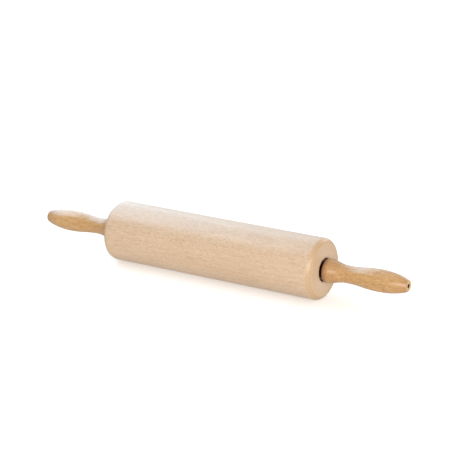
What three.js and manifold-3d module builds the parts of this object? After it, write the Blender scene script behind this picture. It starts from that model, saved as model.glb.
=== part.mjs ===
// Wooden rolling pin: a barrel that turns on two ball bearings over a steel rod with two turned handles.
// Millimetres. The rod lies along X, the right handle points to +X and Z is up.

import * as THREE from 'three';
import { mergeVertices } from 'three/addons/utils/BufferGeometryUtils.js';
import Module from 'manifold-3d';

// Fits: a gap between pieces that sit in one another, and a gap between pieces that turn.
const fitGap = 0.25;
const runGap = 0.25;

// Barrel
const barrelDiameter = 76.2;
const barrelLength = 304.8;
const edgeRound = 7.5;
const recessDiameter = 29.4;
const recessDepth = 5;

// Axle rod
const rodDiameter = 7.94;
const rodChamfer = 1;
const rodGripLength = 70;
const rodRoom = 4;

// Handle, measured along the rod from its root face
const handleLength = 111;
const rootDiameter = 30.6;
const rootRound = 4;
const rootStandoff = 1.6;
const neckDiameter = 21.4;
const neckAt = 31.6;
const bulbDiameter = 27.3;
const bulbAt = 73.6;
const noseDiameter = 14.8;
const noseRound = 1.2;
const noseHole = 5;

// How long each curve of the handle keeps the direction it starts or ends with, as a share of its own run
const flareFromRoot = 0.33;
const flareToNeck = 0.52;
const swellFromNeck = 0.4;
const swellToBulb = 0.46;
const taperFromBulb = 0.46;
const taperToNose = 0.2;
const taperDrop = 0.46;
const noseSoftness = 0.4;

// Ball bearing
const bearingOuter = 22;
const bearingWidth = 7;
const ballDiameter = 3.97;
const ballCount = 7;
const pitchDiameter = 15;
const innerLand = 12.1;
const outerLand = 18;
const raceChamfer = 0.4;

// Seal
const sealStep = 0.55;
const sealSeat = 0.45;
const sealSheet = 0.4;
const sealDish = 0.15;

// Ball cage: an open crown of moulded plastic
const cageWeb = 0.5;
const cageReach = 0.9;
const cageThickness = 2;

// Facets round each turned piece, and steps along the curves of its outline
const barrelFacets = 48;
const handleFacets = 28;
const ringFacets = 24;
const barrelSteps = 3;
const handleSteps = 5;
const grooveSteps = 3;
const straightSteps = 1;
const ballFacets = { round: 10, down: 7 };
const pocketFacets = { round: 12, down: 8 };
const cageFacetsPerBall = 4;
const weldDistance = 1e-4;

const halfBarrel = barrelLength / 2;
const rodRadius = rodDiameter / 2;
const rodBore = rodRadius + fitGap;
const pitchRadius = pitchDiameter / 2;
const grooveRadius = ballDiameter / 2 + runGap;
const bearingMiddle = halfBarrel - recessDepth - bearingWidth / 2;
const halfWidth = bearingWidth / 2;
const sealFace = halfWidth - sealStep;

const maple = { color: 0xdcc09a, roughness: 0.5, metalness: 0 };
const honey = { color: 0xd0a06a, roughness: 0.35, metalness: 0 };
const steel = { color: 0xb9bcc0, roughness: 0.3, metalness: 1 };
const chrome = { color: 0xd8dadd, roughness: 0.15, metalness: 1 };
const rubber = { color: 0x17171a, roughness: 0.75, metalness: 0 };
const blackened = { color: 0x2b2b2e, roughness: 0.5, metalness: 1 };
const nylon = { color: 0xe9e4d4, roughness: 0.6, metalness: 0 };

const wasm = await Module();
wasm.setup();

function turned(path, steps, facets) {
  const start = Math.PI / facets;
  return new THREE.LatheGeometry(path.getPoints(steps), facets, start);
}

function piece(name, geometry, look) {
  const mesh = new THREE.Mesh(geometry, new THREE.MeshStandardMaterial(look));
  mesh.name = name;
  return mesh;
}

function toSolid(geometry) {
  const bare = geometry.clone();
  bare.deleteAttribute('normal');
  bare.deleteAttribute('uv');
  const welded = mergeVertices(bare, weldDistance);
  const mesh = new wasm.Mesh({
    numProp: 3,
    vertProperties: new Float32Array(welded.attributes.position.array),
    triVerts: new Uint32Array(welded.index.array),
  });
  return new wasm.Manifold(mesh);
}

function fromSolid(solid) {
  const mesh = solid.getMesh();
  const geometry = new THREE.BufferGeometry();
  geometry.setAttribute('position', new THREE.BufferAttribute(mesh.vertProperties, 3));
  geometry.setIndex(new THREE.BufferAttribute(mesh.triVerts, 1));
  geometry.computeVertexNormals();
  return geometry;
}

// Barrel: rounded ends, a recess in each end face, a bearing seat below it and a bore for the rod.
function barrelGeometry() {
  const radius = barrelDiameter / 2;
  const recess = recessDiameter / 2;
  const seat = bearingOuter / 2 + fitGap;
  const bore = rodRadius + rodRoom;
  const floor = halfBarrel - recessDepth;
  const shoulder = floor - bearingWidth;
  const rounding = halfBarrel - edgeRound;
  const path = new THREE.Path();
  path.moveTo(recess, -halfBarrel);
  path.lineTo(radius - edgeRound, -halfBarrel);
  path.absarc(radius - edgeRound, -rounding, edgeRound, -Math.PI / 2, 0, false);
  path.lineTo(radius, rounding);
  path.absarc(radius - edgeRound, rounding, edgeRound, 0, Math.PI / 2, false);
  path.lineTo(recess, halfBarrel);
  path.lineTo(recess, floor);
  path.lineTo(seat, floor);
  path.lineTo(seat, shoulder);
  path.lineTo(bore, shoulder);
  path.lineTo(bore, -shoulder);
  path.lineTo(seat, -shoulder);
  path.lineTo(seat, -floor);
  path.lineTo(recess, -floor);
  path.lineTo(recess, -halfBarrel);
  return turned(path, barrelSteps, barrelFacets);
}

// Rod: one length from handle to handle, chamfered at both ends.
function rodGeometry() {
  const end = halfBarrel + rootStandoff + rodGripLength;
  const path = new THREE.Path();
  path.moveTo(0, -end);
  path.lineTo(rodRadius - rodChamfer, -end);
  path.lineTo(rodRadius, rodChamfer - end);
  path.lineTo(rodRadius, end - rodChamfer);
  path.lineTo(rodRadius - rodChamfer, end);
  path.lineTo(0, end);
  return turned(path, straightSteps, ringFacets);
}

// Handle: flared root, neck, bulb and flat nose, with a bore for the rod and a small hole through the nose.
function handleGeometry() {
  const root = rootDiameter / 2;
  const neck = neckDiameter / 2;
  const bulb = bulbDiameter / 2;
  const nose = noseDiameter / 2;
  const hole = noseHole / 2;
  const boreEnd = rodGripLength + rodChamfer;
  const flare = neckAt - rootRound;
  const swell = bulbAt - neckAt;
  const taper = handleLength - noseRound - bulbAt;
  const path = new THREE.Path();
  path.moveTo(rodBore, 0);
  path.lineTo(root - rootRound, 0);
  path.quadraticCurveTo(root, 0, root, rootRound);
  path.bezierCurveTo(
    root, rootRound + flare * flareFromRoot, neck, neckAt - flare * flareToNeck, neck, neckAt,
  );
  path.bezierCurveTo(
    neck, neckAt + swell * swellFromNeck, bulb, bulbAt - swell * swellToBulb, bulb, bulbAt,
  );
  path.bezierCurveTo(
    bulb, bulbAt + taper * taperFromBulb,
    nose + (bulb - nose) * taperDrop, handleLength - taper * taperToNose,
    nose, handleLength - noseRound,
  );
  path.quadraticCurveTo(
    nose - noseRound * noseSoftness, handleLength, nose - noseRound, handleLength,
  );
  path.lineTo(hole, handleLength);
  path.lineTo(hole, boreEnd);
  path.lineTo(rodBore, boreEnd);
  path.lineTo(rodBore, 0);
  return turned(path, handleSteps, handleFacets);
}

// Inner race: a ring on the rod with a groove for the balls and a chamfer at each end of its bore.
function innerRaceGeometry() {
  const land = innerLand / 2;
  const mouth = Math.acos((pitchRadius - land) / grooveRadius);
  const path = new THREE.Path();
  path.moveTo(rodBore, raceChamfer - halfWidth);
  path.lineTo(rodBore + raceChamfer, -halfWidth);
  path.lineTo(land, -halfWidth);
  path.absarc(pitchRadius, 0, grooveRadius, Math.PI + mouth, Math.PI - mouth, true);
  path.lineTo(land, halfWidth);
  path.lineTo(rodBore + raceChamfer, halfWidth);
  path.lineTo(rodBore, halfWidth - raceChamfer);
  path.lineTo(rodBore, raceChamfer - halfWidth);
  return turned(path, grooveSteps, ringFacets);
}

// Outer race: a ring in the barrel with a groove for the balls and a step for a seal at each side.
function outerRaceGeometry() {
  const outer = bearingOuter / 2;
  const land = outerLand / 2;
  const step = land + sealSeat + fitGap;
  const mouth = Math.acos((land - pitchRadius) / grooveRadius);
  const path = new THREE.Path();
  path.moveTo(step, -halfWidth);
  path.lineTo(outer - raceChamfer, -halfWidth);
  path.lineTo(outer, raceChamfer - halfWidth);
  path.lineTo(outer, halfWidth - raceChamfer);
  path.lineTo(outer - raceChamfer, halfWidth);
  path.lineTo(step, halfWidth);
  path.lineTo(step, sealFace);
  path.lineTo(land, sealFace);
  path.absarc(pitchRadius, 0, grooveRadius, mouth, -mouth, true);
  path.lineTo(land, -sealFace);
  path.lineTo(step, -sealFace);
  path.lineTo(step, -halfWidth);
  return turned(path, grooveSteps, ringFacets);
}

// Seal: a thin dished rubber ring that sits on the step of the outer race and clears the inner race.
function sealGeometry() {
  const inside = innerLand / 2 + runGap + fitGap / 2;
  const rim = outerLand / 2 + sealSeat;
  const bend = outerLand / 2 - sealDish;
  const low = sealFace;
  const high = low + sealDish;
  const path = new THREE.Path();
  path.moveTo(inside, high);
  path.lineTo(bend - sealDish, high);
  path.lineTo(bend, low);
  path.lineTo(rim, low);
  path.lineTo(rim, low + sealSheet);
  path.lineTo(bend + sealDish, low + sealSheet);
  path.lineTo(bend, high + sealSheet);
  path.lineTo(inside, high + sealSheet);
  path.lineTo(inside, high);
  return turned(path, straightSteps, ringFacets);
}

function ballGeometry() {
  return new THREE.SphereGeometry(ballDiameter / 2, ballFacets.round, ballFacets.down);
}

function ballPlace(index) {
  const angle = (index / ballCount) * Math.PI * 2;
  return new THREE.Vector3(pitchRadius * Math.sin(angle), 0, pitchRadius * Math.cos(angle));
}

// Cage: a ring with a round pocket for each ball, open at one side so that the balls snap in.
function cageGeometry() {
  const inside = pitchRadius - cageThickness / 2;
  const outside = pitchRadius + cageThickness / 2;
  const back = grooveRadius + cageWeb;
  const path = new THREE.Path();
  path.moveTo(inside, -back);
  path.lineTo(outside, -back);
  path.lineTo(outside, cageReach);
  path.lineTo(inside, cageReach);
  path.lineTo(inside, -back);
  let cage = toSolid(turned(path, straightSteps, ballCount * cageFacetsPerBall));
  const pocket = new THREE.SphereGeometry(grooveRadius, pocketFacets.round, pocketFacets.down);
  for (let index = 0; index < ballCount; index += 1) {
    const at = ballPlace(index);
    cage = cage.subtract(toSolid(pocket.clone().translate(at.x, at.y, at.z)));
  }
  return fromSolid(cage);
}

// Spacer collar: a short tube on the rod that keeps the handle's root off the end of the barrel.
function collarGeometry() {
  const length = recessDepth + rootStandoff;
  const path = new THREE.Path();
  path.moveTo(rodBore, 0);
  path.lineTo(innerLand / 2, 0);
  path.lineTo(innerLand / 2, length);
  path.lineTo(rodBore, length);
  path.lineTo(rodBore, 0);
  return turned(path, straightSteps, ringFacets);
}

// One end of the pin, built along +Y from the middle of the barrel and then turned to its side.
function endOfPin(side, turn) {
  const end = new THREE.Group();
  end.rotation.z = turn;
  const bearing = new THREE.Group();
  bearing.position.y = bearingMiddle;
  bearing.add(piece(`${side}_outer_race`, outerRaceGeometry(), steel));
  bearing.add(piece(`${side}_inner_race`, innerRaceGeometry(), steel));
  bearing.add(piece(`${side}_ball_cage`, cageGeometry(), nylon));
  for (let index = 0; index < ballCount; index += 1) {
    const ball = piece(`${side}_ball_${index + 1}`, ballGeometry(), chrome);
    ball.position.copy(ballPlace(index));
    bearing.add(ball);
  }
  bearing.add(piece(`${side}_outside_seal`, sealGeometry(), rubber));
  const inside = piece(`${side}_inside_seal`, sealGeometry(), rubber);
  inside.rotation.x = Math.PI;
  bearing.add(inside);
  end.add(bearing);
  const collar = piece(`${side}_spacer_collar`, collarGeometry(), blackened);
  collar.position.y = halfBarrel - recessDepth;
  end.add(collar);
  const handle = piece(`${side}_handle`, handleGeometry(), honey);
  handle.position.y = halfBarrel + rootStandoff;
  end.add(handle);
  return end;
}

const group = new THREE.Group();
const barrel = piece('barrel', barrelGeometry(), maple);
barrel.rotation.z = -Math.PI / 2;
group.add(barrel);
const rod = piece('axle_rod', rodGeometry(), steel);
rod.rotation.z = -Math.PI / 2;
group.add(rod);
group.add(endOfPin('right', -Math.PI / 2));
group.add(endOfPin('left', Math.PI / 2));

export default group;
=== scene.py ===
# Looks for the wooden rolling pin: turned wood, two ball bearings, a pale studio and the camera.
from math import acos, cos, degrees, pi, radians, sin

import bpy
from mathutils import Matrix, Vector
from mathutils.geometry import interpolate_bezier


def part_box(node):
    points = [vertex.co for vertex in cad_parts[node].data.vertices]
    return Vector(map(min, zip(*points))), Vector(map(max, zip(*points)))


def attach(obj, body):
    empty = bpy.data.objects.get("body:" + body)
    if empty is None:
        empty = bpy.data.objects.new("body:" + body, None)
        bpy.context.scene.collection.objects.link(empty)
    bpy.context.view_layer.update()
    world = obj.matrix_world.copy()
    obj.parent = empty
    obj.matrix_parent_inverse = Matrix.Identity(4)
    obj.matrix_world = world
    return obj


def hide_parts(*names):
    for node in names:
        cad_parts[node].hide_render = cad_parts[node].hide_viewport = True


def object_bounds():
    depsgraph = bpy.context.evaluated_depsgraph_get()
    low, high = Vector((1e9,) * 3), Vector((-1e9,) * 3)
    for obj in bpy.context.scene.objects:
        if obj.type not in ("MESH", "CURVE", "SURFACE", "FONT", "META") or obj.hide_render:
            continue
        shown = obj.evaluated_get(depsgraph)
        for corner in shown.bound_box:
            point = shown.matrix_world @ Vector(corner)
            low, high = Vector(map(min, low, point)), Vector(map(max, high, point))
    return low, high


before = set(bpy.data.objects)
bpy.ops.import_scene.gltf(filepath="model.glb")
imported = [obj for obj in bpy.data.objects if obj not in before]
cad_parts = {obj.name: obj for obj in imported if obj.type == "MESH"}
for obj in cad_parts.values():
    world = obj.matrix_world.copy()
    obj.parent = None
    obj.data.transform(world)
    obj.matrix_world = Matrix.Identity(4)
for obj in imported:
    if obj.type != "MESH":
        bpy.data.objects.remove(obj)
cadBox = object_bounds()
print("frame loaded:", len(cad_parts), "nodes")

# Sizes in metres that more than one piece takes. Places along the rod, which is the X axis, are read from
# the frame, and radii are given here, because a faceted node is thinner than the round piece.
pin = {"rodRadius": 0.00397, "rodChamfer": 0.001, "bearingRadius": 0.011, "fitGap": 0.00025}
sides = {"right": 0.0, "left": pi}  # turn about Z that carries the right end to that side


def spanAlongRod(node):
    low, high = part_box(node)
    return low.x, high.x


barrelEnd, rodEnd = spanAlongRod("barrel")[1], spanAlongRod("axle_rod")[1]
rootFace, noseFace = spanAlongRod("right_handle")
bearingStart, bearingEnd = spanAlongRod("right_inner_race")
bearingMiddle, halfBearing = (bearingStart + bearingEnd) / 2, (bearingEnd - bearingStart) / 2
rodBore = pin["rodRadius"] + pin["fitGap"]
print("barrel %.4f m long, pin %.4f m long" % (2 * barrelEnd, 2 * noseFace))


# Small modelling helpers

lathe = {"startSize": 0.001, "shortest": 1e-7, "weld": 2e-6, "smoothAngle": radians(34)}


def deselectAll():
    if bpy.context.object and bpy.context.object.mode != "OBJECT":
        bpy.ops.object.mode_set(mode="OBJECT")
    bpy.ops.object.select_all(action="DESELECT")


def arc(centre, radius, start, end, steps):
    points = []
    for step in range(steps + 1):
        angle = radians(start + (end - start) * step / steps)
        points.append((centre[0] + radius * cos(angle), centre[1] + radius * sin(angle)))
    return points


def sweep(start, startPull, endPull, end, steps):
    knots = [Vector((along, 0, radius)) for along, radius in (start, startPull, endPull, end)]
    return [(point.x, point.z) for point in interpolate_bezier(*knots, steps + 1)]


def run(start, end, steps):
    gap = ((end[0] - start[0]) / steps, (end[1] - start[1]) / steps)
    return [(start[0] + gap[0] * step, start[1] + gap[1] * step) for step in range(steps + 1)]


def mirrored(outline):
    return [(-along, radius) for along, radius in reversed(outline)]


# An outline of (along, radius) points, drawn by extruding one vertex and spun round the rod's axis
def turnOnLathe(name, outline, steps):
    deselectAll()
    bpy.ops.mesh.primitive_plane_add(size=lathe["startSize"])
    piece = bpy.context.object
    piece.name = name
    bpy.ops.object.mode_set(mode="EDIT")
    bpy.ops.mesh.select_all(action="SELECT")
    bpy.ops.mesh.merge(type="CENTER")
    bpy.ops.transform.translate(value=(outline[0][0], 0, outline[0][1]))
    for here, there in zip(outline, outline[1:]):
        move = (there[0] - here[0], 0, there[1] - here[1])
        if Vector(move).length > lathe["shortest"]:
            bpy.ops.mesh.extrude_vertices_move(TRANSFORM_OT_translate={"value": move})
    bpy.ops.mesh.select_all(action="SELECT")
    bpy.ops.mesh.spin(steps=steps, angle=2 * pi, center=(0, 0, 0), axis=(1, 0, 0))
    bpy.ops.mesh.select_all(action="SELECT")
    bpy.ops.mesh.remove_doubles(threshold=lathe["weld"])
    bpy.ops.mesh.normals_make_consistent(inside=False)
    bpy.ops.object.mode_set(mode="OBJECT")
    bpy.ops.object.shade_smooth_by_angle(angle=lathe["smoothAngle"])
    return piece


# A copy with its own mesh, turned about the upright axis through the middle of the pin
def copyTurned(piece, name, turn):
    deselectAll()
    piece.select_set(True)
    bpy.context.view_layer.objects.active = piece
    bpy.ops.object.duplicate(linked=False)
    copy = bpy.context.object
    copy.name = name
    bpy.ops.object.mode_set(mode="EDIT")
    bpy.ops.mesh.select_all(action="SELECT")
    bpy.ops.transform.rotate(value=turn, orient_axis="Z", center_override=(0, 0, 0))
    bpy.ops.object.mode_set(mode="OBJECT")
    return copy


def finishPiece(piece, material, body, node):
    piece.data.materials.clear()
    piece.data.materials.append(material)
    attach(piece, body)
    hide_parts(node)


# Node helpers

def startMaterial(name):
    material = bpy.data.materials.new(name)
    material.use_nodes = True
    tree = material.node_tree
    return material, tree, tree.nodes["Principled BSDF"]


def addNode(tree, kind, inputs=None, **settings):
    node = tree.nodes.new(kind)
    for key, value in settings.items():
        setattr(node, key, value)
    for key, value in (inputs or {}).items():
        if isinstance(value, bpy.types.NodeSocket):
            tree.links.new(value, node.inputs[key])
        else:
            node.inputs[key].default_value = value
    return node


def place(tree, scale, shift=(0, 0, 0), turn=(0, 0, 0)):
    coords = addNode(tree, "ShaderNodeTexCoord")
    mapping = addNode(tree, "ShaderNodeMapping", {
        "Vector": coords.outputs["Object"], "Location": shift, "Rotation": turn, "Scale": scale})
    return mapping.outputs["Vector"]


def noise(tree, scale, shift=(0, 0, 0), detail=3.0, rough=0.55, bend=0.0):
    node = addNode(tree, "ShaderNodeTexNoise", {
        "Vector": place(tree, scale, shift), "Scale": 1.0, "Detail": detail,
        "Roughness": rough, "Distortion": bend})
    return node.outputs["Fac"]


def ramp(tree, value, *stops):
    node = addNode(tree, "ShaderNodeValToRGB", {"Fac": value})
    elements = node.color_ramp.elements
    while len(elements) < len(stops):
        elements.new(0.5)  # its place is set below
    for element, (position, shade) in zip(elements, stops):
        element.position = position
        element.color = (shade, shade, shade, 1)
    return node.outputs["Color"]


def rescale(tree, value, given, wanted, **settings):
    node = addNode(tree, "ShaderNodeMapRange", {
        "Value": value, "From Min": given[0], "From Max": given[1], "To Min": wanted[0], "To Max": wanted[1]},
        **settings)
    return node.outputs["Result"]


def mixColour(tree, amount, first, second):
    node = addNode(tree, "ShaderNodeMix", data_type="RGBA")
    for socket, value in (("Factor_Float", amount), ("A_Color", first), ("B_Color", second)):
        target = next(entry for entry in node.inputs if entry.identifier == socket)
        if isinstance(value, bpy.types.NodeSocket):
            tree.links.new(value, target)
        else:
            target.default_value = (*value, 1)
    return next(entry for entry in node.outputs if entry.identifier == "Result_Color")


def calculate(tree, operation, first, second=None):
    node = addNode(tree, "ShaderNodeMath", operation=operation)
    for index, value in enumerate((first, second)):
        if isinstance(value, bpy.types.NodeSocket):
            tree.links.new(value, node.inputs[index])
        elif value is not None:
            node.inputs[index].default_value = value
    return node.outputs["Value"]


# Along the rod: with "Object" how far out a point lies, with "Normal" how far its face looks that way,
# 0 on the turned side and 1 on the end grain
def alongRod(tree, output):
    coords = addNode(tree, "ShaderNodeTexCoord")
    axes = addNode(tree, "ShaderNodeSeparateXYZ", {"Vector": coords.outputs[output]})
    return calculate(tree, "ABSOLUTE", axes.outputs["X"])


# How far a point is from the rod's axis
def acrossRod(tree):
    node = addNode(tree, "ShaderNodeVectorMath", {0: place(tree, (0, 1, 1))}, operation="LENGTH")
    return node.outputs["Value"]


# Colour, and a roughness that follows one pattern
def paint(tree, shader, tone, pattern, rough):
    tree.links.new(tone, shader.inputs["Base Color"])
    tree.links.new(rescale(tree, pattern, (0.0, 1.0), rough), shader.inputs["Roughness"])


def emboss(tree, shader, pattern, strength, depth):
    bump = addNode(tree, "ShaderNodeBump", {"Strength": strength, "Distance": depth, "Height": pattern})
    tree.links.new(bump.outputs["Normal"], shader.inputs["Normal"])


# Wood: growth rings round an off-centre pith, long fibres, short ray flecks and darker turned edges

# Patterns with their scale along and across the rod, then the stops that give each its contrast
grain = {
    "fibres": {"scale": (22, 620, 620), "detail": 5.0, "rough": 0.62, "bend": 0.25},
    "clouds": {"scale": (7, 26, 26), "shift": (3, 1, 2), "detail": 2.0},
    "mottle": {"scale": (170, 400, 400), "shift": (2, 7, 1), "rough": 0.6, "bend": 1.4},
    "flecks": {"scale": (250, 760, 760), "shift": (1, 5, 4), "detail": 2.0, "rough": 0.5, "bend": 0.8},
    "patches": {"scale": (16, 42, 42), "shift": (8, 3, 6), "detail": 2.0},
}
contrast = {
    "fibres": ((0.30, 0.0), (0.70, 1.0)), "clouds": ((0.35, 0.0), (0.65, 1.0)),
    "mottle": ((0.38, 0.0), (0.62, 1.0)), "flecks": ((0.55, 0.0), (0.66, 1.0)),
    "patches": ((0.40, 0.25), (0.62, 1.0)),
}
figureShares = {"rings": 0.20, "fibres": 0.14, "clouds": 0.16, "mottle": 0.50}
ringDetail = {"Detail": 2.0, "Detail Scale": 0.35, "Detail Roughness": 0.5}
# How far a face looks along the rod, and its share of the shoulder's tone
turnedEdge = ((0.12, 0.0), (0.42, 0.75), (0.90, 0.75), (0.985, 0.0))
endGrain = {"from": 0.93, "to": 0.99, "share": 0.6}

mapleLook = {
    "light": (0.598, 0.435, 0.300), "tan": (0.452, 0.298, 0.177), "fleck": (0.335, 0.200, 0.105),
    "shoulder": (0.440, 0.280, 0.145), "end": (0.570, 0.397, 0.252), "endRings": 0.35,
    # painted light on the end grain round the recess, lifting the shade that falls there
    "paintedRecessLight": {"from": 0.0150, "to": 0.0300, "share": 0.5, "facing": 0.97, "tone": (0.70, 0.53, 0.37)},
    # painted shade inside the recess and the rod bore
    "boreShade": {"radius": 0.0148, "tone": (0.40, 0.175, 0.065)},
    "pith": (0, 0.06, -0.085), "lean": (0, radians(1.2), radians(0.8)), "ringScale": 46, "ringBend": 5.0,
    "fleckAmount": 0.46, "rough": (0.50, 0.64), "bump": 0.05, "bumpDepth": 0.0004,
    "shine": 0.2, "coat": 0.88, "coatRough": 0.30, "coatIor": 1.65,
}
honeyLook = {
    "light": (0.568, 0.339, 0.140), "tan": (0.359, 0.180, 0.051), "fleck": (0.217, 0.099, 0.028),
    "shoulder": (0.351, 0.172, 0.061), "end": (0.620, 0.400, 0.190), "endRings": 0.25,
    # painted shade on the root's rounded edge, beside the gap at the barrel end
    "rootShade": {"from": 0.0015, "to": 0.0102, "share": 0.9, "tone": (0.190, 0.075, 0.030)},
    # painted shade in the nose hole
    "boreShade": {"radius": 0.0027, "tone": (0.060, 0.024, 0.010)},
    "pith": (0, -0.03, -0.028), "lean": (0, radians(-2.4), radians(1.6)), "ringScale": 66, "ringBend": 6.0,
    "fleckAmount": 0.65, "rough": (0.40, 0.54), "bump": 0.04, "bumpDepth": 0.0004,
    "shine": 0.2, "coat": 1.0, "coatRough": 0.25, "coatIor": 1.65,
}


def growthRings(tree, look):
    centred = place(tree, (1, 1, 1), look["pith"], look["lean"])
    node = addNode(tree, "ShaderNodeTexWave", {
        "Vector": centred, "Scale": look["ringScale"], "Distortion": look["ringBend"], **ringDetail},
        wave_type="RINGS", rings_direction="X", wave_profile="SAW")
    return node.outputs["Fac"]


def onEndGrain(tree, facing, share):
    return ramp(tree, facing, (endGrain["from"], 0.0), (endGrain["to"], share))


# Painted light: paler end grain round the recess that lifts the shade the handle's root leaves there, fading
# out towards the edge
def paintLightRoundRecess(tree, wood, facing, ring):
    fade = rescale(tree, acrossRod(tree), (ring["from"], ring["to"]), (ring["share"], 0.0))
    onEnd = calculate(tree, "GREATER_THAN", facing, ring["facing"])
    return mixColour(tree, calculate(tree, "MULTIPLY", fade, onEnd), wood, ring["tone"])


# Painted shade on the root's rounded edge where it faces the barrel end, fading out along the handle from its
# root face
def paintRootShade(tree, wood, edge):
    fade = rescale(tree, alongRod(tree, "Object"), (rootFace + edge["from"], rootFace + edge["to"]),
                   (edge["share"], 0.0), interpolation_type="SMOOTHSTEP")
    return mixColour(tree, fade, wood, edge["tone"])


# Painted shade inside whatever is bored round the rod's axis: the barrel's recess and bore, and the nose hole
def paintBoreShade(tree, wood, boreShade):
    inside = calculate(tree, "LESS_THAN", acrossRod(tree), boreShade["radius"])
    return mixColour(tree, inside, wood, boreShade["tone"])


def woodMaterial(name, look):
    material, tree, shader = startMaterial(name)
    raw = {key: noise(tree, **settings) for key, settings in grain.items()}
    patterns = {key: ramp(tree, value, *contrast[key]) for key, value in raw.items()}
    patterns["rings"] = growthRings(tree, look)
    parts = [calculate(tree, "MULTIPLY", patterns[key], share) for key, share in figureShares.items()]
    figure = parts[0]
    for part in parts[1:]:
        figure = calculate(tree, "ADD", figure, part)
    wood = mixColour(tree, figure, look["light"], look["tan"])
    scattered = calculate(tree, "MULTIPLY", patterns["flecks"], patterns["patches"])
    wood = mixColour(tree, calculate(tree, "MULTIPLY", scattered, look["fleckAmount"]), wood, look["fleck"])
    facing = alongRod(tree, "Normal")
    wood = mixColour(tree, ramp(tree, facing, *turnedEdge), wood, look["shoulder"])
    wood = mixColour(tree, onEndGrain(tree, facing, endGrain["share"]), wood, look["end"])
    endArcs = calculate(tree, "MULTIPLY", onEndGrain(tree, facing, look["endRings"]), patterns["rings"])
    wood = mixColour(tree, endArcs, wood, look["tan"])
    # painted light round the barrel's recess
    if "paintedRecessLight" in look:
        wood = paintLightRoundRecess(tree, wood, facing, look["paintedRecessLight"])
    # painted shade on the handle's root edge
    if "rootShade" in look:
        wood = paintRootShade(tree, wood, look["rootShade"])
    # painted shade in the bores
    wood = paintBoreShade(tree, wood, look["boreShade"])
    paint(tree, shader, wood, raw["fibres"], look["rough"])
    emboss(tree, shader, raw["fibres"], look["bump"], look["bumpDepth"])
    shader.inputs["Specular IOR Level"].default_value = look["shine"]
    shader.inputs["Coat Weight"].default_value = look["coat"]
    shader.inputs["Coat Roughness"].default_value = look["coatRough"]
    shader.inputs["Coat IOR"].default_value = look["coatIor"]
    return material


# Steel: tool marks that follow how the piece was made

steelLooks = {
    "drawnSteel": {"dark": (0.42, 0.43, 0.45), "light": (0.60, 0.61, 0.63), "rough": (0.24, 0.40),
                   "marks": (30, 2400, 2400)},
    # painted shade: the races are toned near black-brown, far darker than ground steel, to stand for the
    # shade in the gap at the barrel end
    "groundSteelPaintedShade": {"dark": (0.09, 0.06, 0.05), "light": (0.17, 0.125, 0.11), "rough": (0.30, 0.46),
                    "marks": (3600, 260, 260)},
    # blackened steel for the spacer collar, its dark red-brown tone partly painted shade for the gap at the
    # barrel end
    "blackenedSteelAndShade": {"dark": (0.045, 0.008, 0.004), "light": (0.110, 0.022, 0.010), "rough": (0.40, 0.60),
                       "marks": (5200, 120, 120)},
    "polishedSteel": {"dark": (0.66, 0.67, 0.69), "light": (0.80, 0.81, 0.83), "rough": (0.05, 0.12),
                      "marks": (1500, 1500, 1500)},
}
toolMarks = {"detail": 4.0, "rough": 0.6, "contrast": ((0.32, 0.0), (0.68, 1.0)),
             "bump": 0.08, "bumpDepth": 0.00005}


def steelMaterial(name, look):
    material, tree, shader = startMaterial(name)
    marks = noise(tree, look["marks"], detail=toolMarks["detail"], rough=toolMarks["rough"])
    tone = mixColour(tree, ramp(tree, marks, *toolMarks["contrast"]), look["dark"], look["light"])
    paint(tree, shader, tone, marks, look["rough"])
    emboss(tree, shader, marks, toolMarks["bump"], toolMarks["bumpDepth"])
    shader.inputs["Metallic"].default_value = 1.0
    return material


nylonLook = {"pale": (0.80, 0.76, 0.66), "deep": (0.66, 0.61, 0.50), "rough": (0.45, 0.65),
             "cloud": (420, 420, 420)}


def nylonMaterial():
    material, tree, shader = startMaterial("mouldedNylon")
    cloud = noise(tree, nylonLook["cloud"])
    tone = mixColour(tree, cloud, nylonLook["deep"], nylonLook["pale"])
    paint(tree, shader, tone, cloud, nylonLook["rough"])
    return material


rubberLook = {"black": (0.020, 0.007, 0.005), "bloom": (0.042, 0.016, 0.011), "rough": (0.62, 0.85),
              "dust": {"scale": (900, 900, 900), "detail": 4.0, "rough": 0.6},
              "contrast": ((0.35, 0.0), (0.70, 1.0))}


def rubberMaterial():
    material, tree, shader = startMaterial("sealRubber")
    dust = noise(tree, **rubberLook["dust"])
    bloom = ramp(tree, dust, *rubberLook["contrast"])
    tone = mixColour(tree, bloom, rubberLook["black"], rubberLook["bloom"])
    paint(tree, shader, tone, dust, rubberLook["rough"])
    return material


maple = woodMaterial("oiledMaple", mapleLook)
honey = woodMaterial("lacqueredHandle", honeyLook)
steels = {name: steelMaterial(name, look) for name, look in steelLooks.items()}
nylon = nylonMaterial()
rubber = rubberMaterial()
print("materials ready:", len(bpy.data.materials))


# Barrel: turned from one block, edges rounded over, recess, bearing seat and rod bore at each end

barrel = {"radius": 0.0381, "edgeRound": 0.0075, "recess": 0.0147, "rodRoom": 0.004, "softEdge": 0.0004,
          "steps": 224, "sideSteps": 12, "edgeSteps": 20, "faceSteps": 6, "boreSteps": 8}


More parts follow.
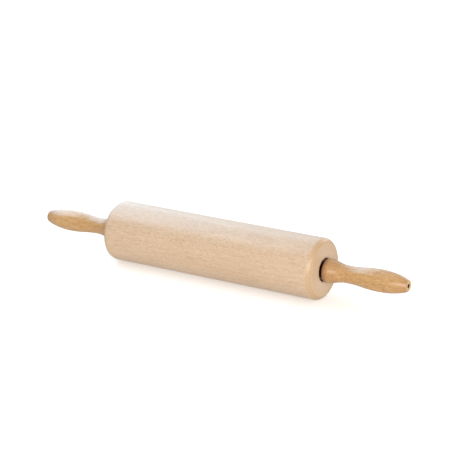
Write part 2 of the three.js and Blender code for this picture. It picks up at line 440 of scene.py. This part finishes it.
def makeBarrel():
    end, radius, edge, soft = barrelEnd, barrel["radius"], barrel["edgeRound"], barrel["softEdge"]
    recess, floor, shoulder = barrel["recess"], bearingEnd, bearingStart
    seat, bore = pin["bearingRadius"] + pin["fitGap"], pin["rodRadius"] + barrel["rodRoom"]
    half = run((0, radius), (end - edge, radius), barrel["sideSteps"])
    half += arc((end - edge, radius - edge), edge, 90, 0, barrel["edgeSteps"])
    half += run((end, radius - edge), (end, recess + soft), barrel["faceSteps"])
    half += [(end - soft, recess), (floor, recess)]
    half += [(floor, seat + soft), (floor - soft, seat), (shoulder, seat)]
    half += run((shoulder, bore), (0, bore), barrel["boreSteps"])
    piece = turnOnLathe("turnedBarrel", half + mirrored(half), barrel["steps"])
    finishPiece(piece, maple, "barrel", "barrel")


makeBarrel()
print("barrel turned")


# Handles: flared root, neck, bulb and flat nose with a small hole

handle = {"root": 0.0153, "rootRound": 0.004, "rootHub": 0.006, "neck": 0.0107, "neckAt": 0.0316,
          "bulb": 0.01365, "bulbAt": 0.0736, "nose": 0.0074, "noseRound": 0.0012, "hole": 0.0025,
          "holeLip": 0.0003, "steps": 144}
handleSteps = {"rootFace": 4, "rootRound": 12, "flare": 26, "swell": 28, "taper": 28, "noseRound": 8,
               "noseFace": 3}
# How far each curve is pulled from its ends, as a share of its own length or drop
pulls = {"rootRound": 0.45, "flareFromRoot": 0.33, "flareToNeck": 0.52, "swellFromNeck": 0.4,
         "swellToBulb": 0.46, "taperFromBulb": 0.46, "taperToNose": 0.2, "taperDrop": 0.46,
         "noseRound": 0.6, "noseDrop": 0.25}


def makeHandles():
    at, nose = rootFace, noseFace
    root, neck, bulb, tip, hole = (handle[key] for key in ("root", "neck", "bulb", "nose", "hole"))
    edge, tipEdge, lip = handle["rootRound"], handle["noseRound"], handle["holeLip"]
    edgePull = edge * pulls["rootRound"]
    tipPull, tipDrop = tipEdge * pulls["noseRound"], tipEdge * pulls["noseDrop"]
    flareAt, neckAt, bulbAt, tipAt = at + edge, at + handle["neckAt"], at + handle["bulbAt"], nose - tipEdge
    flare, swell, taper = neckAt - flareAt, bulbAt - neckAt, tipAt - bulbAt
    boreEnd = rodEnd + pin["rodChamfer"]
    outline = [(at, rodBore)] + run((at, handle["rootHub"]), (at, root - edge), handleSteps["rootFace"])
    outline += sweep((at, root - edge), (at, root - edgePull), (at + edgePull, root), (flareAt, root),
                     handleSteps["rootRound"])
    outline += sweep((flareAt, root), (flareAt + flare * pulls["flareFromRoot"], root),
                     (neckAt - flare * pulls["flareToNeck"], neck), (neckAt, neck), handleSteps["flare"])
    outline += sweep((neckAt, neck), (neckAt + swell * pulls["swellFromNeck"], neck),
                     (bulbAt - swell * pulls["swellToBulb"], bulb), (bulbAt, bulb), handleSteps["swell"])
    outline += sweep((bulbAt, bulb), (bulbAt + taper * pulls["taperFromBulb"], bulb),
                     (nose - taper * pulls["taperToNose"], tip + (bulb - tip) * pulls["taperDrop"]),
                     (tipAt, tip), handleSteps["taper"])
    outline += sweep((tipAt, tip), (tipAt + tipPull, tip - tipDrop), (nose, tip - tipPull),
                     (nose, tip - tipEdge), handleSteps["noseRound"])
    outline += run((nose, tip - tipEdge), (nose, hole + lip), handleSteps["noseFace"])
    outline += [(nose - lip, hole), (boreEnd, hole), (boreEnd, rodBore), (at, rodBore)]
    first = turnOnLathe("turnedHandle", outline, handle["steps"])
    for side, turn in sides.items():
        piece = copyTurned(first, side + "TurnedHandle", turn)
        finishPiece(piece, honey, "axle", side + "_handle")
    bpy.data.objects.remove(first)


makeHandles()
print("handles turned")


# Rod: one length of drawn steel with chamfered ends

rod = {"alongSteps": 10, "steps": 64}


def makeRod():
    end, radius, chamfer = rodEnd, pin["rodRadius"], pin["rodChamfer"]
    half = run((0, radius), (end - chamfer, radius), rod["alongSteps"]) + [(end, radius - chamfer), (end, 0)]
    piece = turnOnLathe("drawnRod", mirrored(half) + half, rod["steps"])
    finishPiece(piece, steels["drawnSteel"], "axle", "axle_rod")


makeRod()
print("rod drawn")


# Bearings: races, seals, balls and an open cage, modelled at the right end and copied to the left

bearing = {"pitch": 0.0075, "innerLand": 0.00605, "outerLand": 0.009, "chamfer": 0.0004,
           "innerChamfer": 0.0002, "sealStep": 0.00055, "sealSeat": 0.00045, "grooveSteps": 14, "steps": 96}
seal = {"sheet": 0.0004, "dish": 0.00015, "lipGap": 0.000375}
collar = {"chamfer": 0.0003}
ball = {"radius": 0.001985, "cuts": 9, "count": 7}
cage = {"web": 0.0005, "reach": 0.0009, "thickness": 0.002, "softEdge": 0.00015}
groove = ball["radius"] + pin["fitGap"]
sealFace = halfBearing - bearing["sealStep"]
sealRim = bearing["outerLand"] + bearing["sealSeat"]
towardsRod, towardsRim = 270, 90  # degrees in an outline


def inBearing(outline):
    return [(along + bearingMiddle, radius) for along, radius in outline]


# The part of the circle round a ball that lies inside a race, from edge to edge of the race's land
def grooveArc(land, facing):
    centre = (0, bearing["pitch"])
    mouth = degrees(acos(abs(bearing["pitch"] - land) / groove))
    return arc(centre, groove, facing - mouth, facing + mouth, bearing["grooveSteps"])


def innerRaceOutline():
    wide, land, soft = halfBearing, bearing["innerLand"], bearing["innerChamfer"]
    start = [(-wide, rodBore + soft), (-wide, land - soft), (-wide + soft, land)]
    end = [(wide - soft, land), (wide, land - soft), (wide, rodBore + soft), (wide - soft, rodBore),
           (-wide + soft, rodBore), (-wide, rodBore + soft)]
    return inBearing(start + grooveArc(land, towardsRod) + end)


def outerRaceOutline():
    wide, land, soft = halfBearing, bearing["outerLand"], bearing["chamfer"]
    outer, step = pin["bearingRadius"], sealRim + pin["fitGap"]
    start = [(-wide, step), (-wide, outer - soft), (-wide + soft, outer), (wide - soft, outer),
             (wide, outer - soft), (wide, step), (sealFace, step), (sealFace, land)]
    end = [(-sealFace, land), (-sealFace, step), (-wide, step)]
    return inBearing(start + grooveArc(land, towardsRim) + end)


def sealOutline(direction):
    low, high, sheet, dish = sealFace, sealFace + seal["dish"], seal["sheet"], seal["dish"]
    inside, bend = bearing["innerLand"] + seal["lipGap"], bearing["outerLand"] - dish
    outline = [(high, inside), (high, bend - dish), (low, bend), (low, sealRim), (low + sheet, sealRim),
               (low + sheet, bend + dish), (high + sheet, bend), (high + sheet, inside), (high, inside)]
    return inBearing([(direction * along, radius) for along, radius in outline])


def collarOutline():
    start, end, outer, soft = bearingEnd, rootFace, bearing["innerLand"], collar["chamfer"]
    return [(start, rodBore), (start, outer - soft), (start + soft, outer), (end - soft, outer),
            (end, outer - soft), (end, rodBore), (start, rodBore)]


turnedRings = {
    "InnerRace": (innerRaceOutline(), steels["groundSteelPaintedShade"], "axle", "race_steel", "_inner_race"),
    "OuterRace": (outerRaceOutline(), steels["groundSteelPaintedShade"], "barrel", "race_steel", "_outer_race"),
    "OutsideSeal": (sealOutline(1), rubber, "barrel", "seal_rubber", "_outside_seal"),
    "InsideSeal": (sealOutline(-1), rubber, "barrel", "seal_rubber", "_inside_seal"),
    "SpacerCollar": (collarOutline(), steels["blackenedSteelAndShade"], "axle", "collar_steel", "_spacer_collar"),
}


def makeRings():
    for name, (outline, finish, body, slot, node) in turnedRings.items():
        first = turnOnLathe(name, outline, bearing["steps"])
        for side, turn in sides.items():
            piece = copyTurned(first, side + name, turn)
            finishPiece(piece, finish, body, side + node)
        bpy.data.objects.remove(first)


# A cube cut into even squares and blown up to a sphere, with no pole on its surface
def addRoundBall(name, radius, middle):
    deselectAll()
    bpy.ops.mesh.primitive_cube_add(size=radius)
    piece = bpy.context.object
    piece.name = name
    bpy.ops.object.mode_set(mode="EDIT")
    bpy.ops.mesh.select_all(action="SELECT")
    bpy.ops.mesh.subdivide(number_cuts=ball["cuts"])
    bpy.ops.transform.tosphere(value=1.0)
    bpy.ops.object.mode_set(mode="OBJECT")
    grow = radius / max(vertex.co.length for vertex in piece.data.vertices)
    bpy.ops.object.mode_set(mode="EDIT")
    bpy.ops.transform.resize(value=(grow, grow, grow), center_override=(0, 0, 0))
    bpy.ops.transform.translate(value=middle)
    bpy.ops.object.mode_set(mode="OBJECT")
    bpy.ops.object.shade_smooth()
    return piece


def ballMiddle(side, number):
    low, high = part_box("%s_ball_%d" % (side, number))
    return (low + high) / 2


def makeBalls():
    for side in sides:
        for number in range(1, ball["count"] + 1):
            piece = addRoundBall("%sBall%d" % (side, number), ball["radius"], ballMiddle(side, number))
            finishPiece(piece, steels["polishedSteel"], side + "_ball_set",
                        "%s_ball_%d" % (side, number))


# A ring with a round pocket for each ball, open on the outer side
def makeCages():
    inner, outer = bearing["pitch"] - cage["thickness"] / 2, bearing["pitch"] + cage["thickness"] / 2
    back, front, soft = -groove - cage["web"], cage["reach"], cage["softEdge"]
    outline = [(back + soft, inner), (back, inner + soft), (back, outer - soft), (back + soft, outer),
               (front - soft, outer), (front, outer - soft), (front, inner + soft), (front - soft, inner),
               (back + soft, inner)]
    first = turnOnLathe("SnapCage", inBearing(outline), bearing["steps"])
    for number in range(1, ball["count"] + 1):
        cutter = addRoundBall("pocketCutter", groove, ballMiddle("right", number))
        deselectAll()
        bpy.context.view_layer.objects.active = first
        first.select_set(True)
        pocket = first.modifiers.new("pocket", "BOOLEAN")
        pocket.operation = "DIFFERENCE"
        pocket.object = cutter
        bpy.ops.object.modifier_apply(modifier=pocket.name)
        bpy.data.objects.remove(cutter)
    bpy.ops.object.shade_smooth_by_angle(angle=lathe["smoothAngle"])
    for side, turn in sides.items():
        piece = copyTurned(first, side + "SnapCage", turn)
        finishPiece(piece, nylon, side + "_ball_set", side + "_ball_cage")
    bpy.data.objects.remove(first)


makeRings()
makeBalls()
makeCages()
print("bearings assembled")


# Studio: a glowing white table, a soft ceiling, three cool windows on the left, a warm fill behind
# and a wide key at the front right

studio = {"floorSize": 12.0, "floorTone": (0.63, 0.62, 0.60), "floorRough": 0.8, "floorGlow": 0.45,
          "glowTone": (1.0, 0.98, 0.95), "worldTone": (1.0, 0.98, 0.95), "worldStrength": 0.53}
lamps = {
    "ceiling": {"place": (0.0, 0.6, 3.2), "aim": (0.0, 0.6, 0.0), "size": (7.0, 7.0), "watts": 45,
                "tone": (1.0, 1.0, 1.0)},
    "leftWindow": {"place": (-1.45, 1.45, 1.23), "aim": (0.0, 1.45, 0.94), "size": (1.16, 2.18),
                   "watts": 20.5, "tone": (0.60, 0.80, 1.0)},
    "highWindow": {"place": (-1.45, 0.0, 1.57), "aim": (0.0, 0.0, 1.28), "size": (1.74, 1.52),
                   "watts": 29.5, "tone": (0.52, 0.75, 1.0)},
    "backWindow": {"place": (-1.45, 2.68, 1.23), "aim": (0.0, 2.68, 0.94), "size": (1.3, 2.18),
                   "watts": 9.4, "tone": (0.76, 0.88, 1.0)},
    "backFill": {"place": (0.5, 2.4, 1.1), "aim": (0.0, 0.0, 0.0), "size": (1.8, 1.2), "watts": 16,
                 "tone": (1.0, 0.95, 0.88)},
    "rightKey": {"place": (1.4, -1.55, 0.6), "aim": (0.0, 0.0, 0.0), "size": (3.4, 1.4), "watts": 50,
                 "tone": (1.0, 0.98, 0.94)},
}


def pointAt(thing, spot, aim):
    thing.rotation_euler = (Vector(aim) - Vector(spot)).to_track_quat("-Z", "Y").to_euler()


def makeFloor():
    deselectAll()
    bpy.ops.mesh.primitive_plane_add(size=studio["floorSize"], location=(0, 0, cadBox[0][2]))
    floor = bpy.context.object
    floor.name = "studioFloor"
    bpy.ops.object.transform_apply(location=True)
    material, _, shader = startMaterial("paleFloor")
    shader.inputs["Base Color"].default_value = (*studio["floorTone"], 1)
    shader.inputs["Roughness"].default_value = studio["floorRough"]
    shader.inputs["Emission Color"].default_value = (*studio["glowTone"], 1)
    shader.inputs["Emission Strength"].default_value = studio["floorGlow"]
    floor.data.materials.append(material)
    floor.visible_glossy = False  # the lacquer mirrors the lamps and the dim room, not the white table


def makeLights():
    world = bpy.data.worlds.new("studioWorld")
    bpy.context.scene.world = world
    world.use_nodes = True
    background = world.node_tree.nodes["Background"]
    background.inputs["Color"].default_value = (*studio["worldTone"], 1)
    background.inputs["Strength"].default_value = studio["worldStrength"]
    for name, lamp in lamps.items():
        deselectAll()
        bpy.ops.object.light_add(type="AREA", location=lamp["place"])
        light = bpy.context.object
        light.name = name
        light.data.shape = "RECTANGLE"
        light.data.size, light.data.size_y = lamp["size"]
        light.data.energy = lamp["watts"]
        light.data.color = lamp["tone"]
        light.visible_camera = False
        pointAt(light, lamp["place"], lamp["aim"])


# Camera: the photo's angle, with the middle of the barrel at one pixel of its square frame

camera = {"azimuth": 32.85, "elevation": 17.78, "distance": 2.241, "lens": 143.7, "sensor": 36,
          "framePixels": 450, "barrelPixel": (218.52, 248.95)}


def makeCamera():
    azimuth, elevation = radians(camera["azimuth"]), radians(camera["elevation"])
    back = Vector((sin(azimuth) * cos(elevation), -cos(azimuth) * cos(elevation), sin(elevation)))
    right = Vector((cos(azimuth), sin(azimuth), 0))
    up = back.cross(right)
    eye = back * camera["distance"]
    metresPerPixel = camera["distance"] * camera["sensor"] / camera["lens"] / camera["framePixels"]
    offRight, offDown = (pixel - camera["framePixels"] / 2 for pixel in camera["barrelPixel"])
    aim = -right * offRight * metresPerPixel + up * offDown * metresPerPixel
    deselectAll()
    bpy.ops.object.camera_add(location=eye)
    lensCamera = bpy.context.object
    lensCamera.name = "photoCamera"
    lensCamera.data.lens = camera["lens"]
    lensCamera.data.sensor_width = camera["sensor"]
    pointAt(lensCamera, eye, aim)
    bpy.context.scene.camera = lensCamera


makeFloor()
makeLights()
makeCamera()
bpy.context.scene.view_settings.view_transform = "Standard"
print("studio set")
